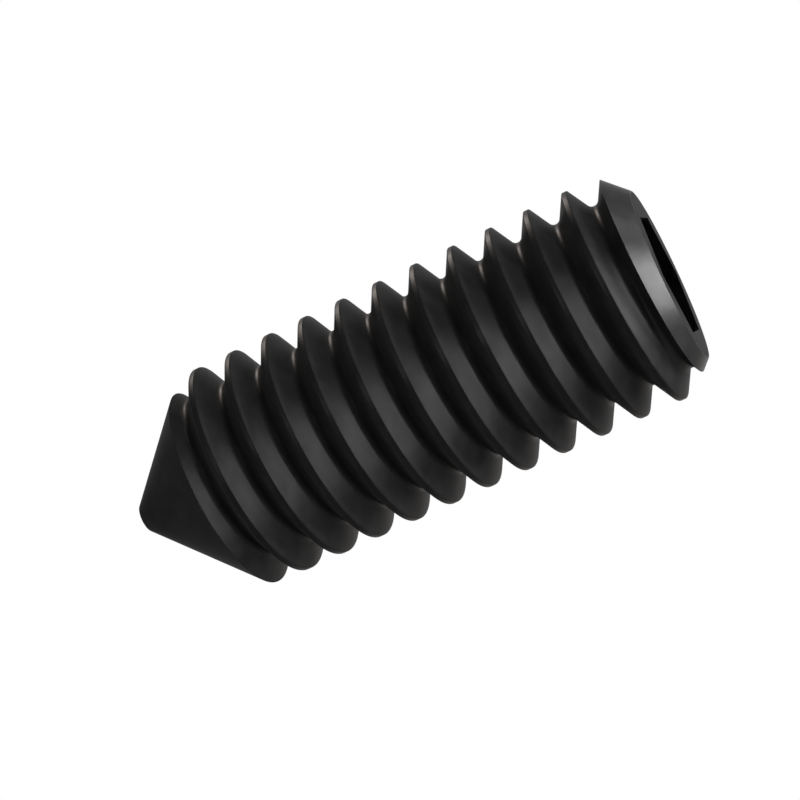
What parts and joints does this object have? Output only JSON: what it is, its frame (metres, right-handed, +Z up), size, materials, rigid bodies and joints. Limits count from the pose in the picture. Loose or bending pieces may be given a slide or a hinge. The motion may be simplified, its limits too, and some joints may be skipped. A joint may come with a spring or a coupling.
{
  "type": "grub set screw",
  "caption": "Headless set screw in black-oxide steel with a full right-hand thread, a hexagon socket in one end and a cone point at the other.",
  "frame": {"origin": "centre of the flat socket end, on which the screw stands", "axes": "+Z runs up the screw's axis to the cone point, and X is square to a flat of the hexagon socket"},
  "size_m": [0.004, 0.004, 0.01],
  "materials": {
    "black_oxide": "satin black oxide over hardened steel"
  },
  "bodies": {
    "root": {"set_screw": "black_oxide"}
  },
  "joints": []
}
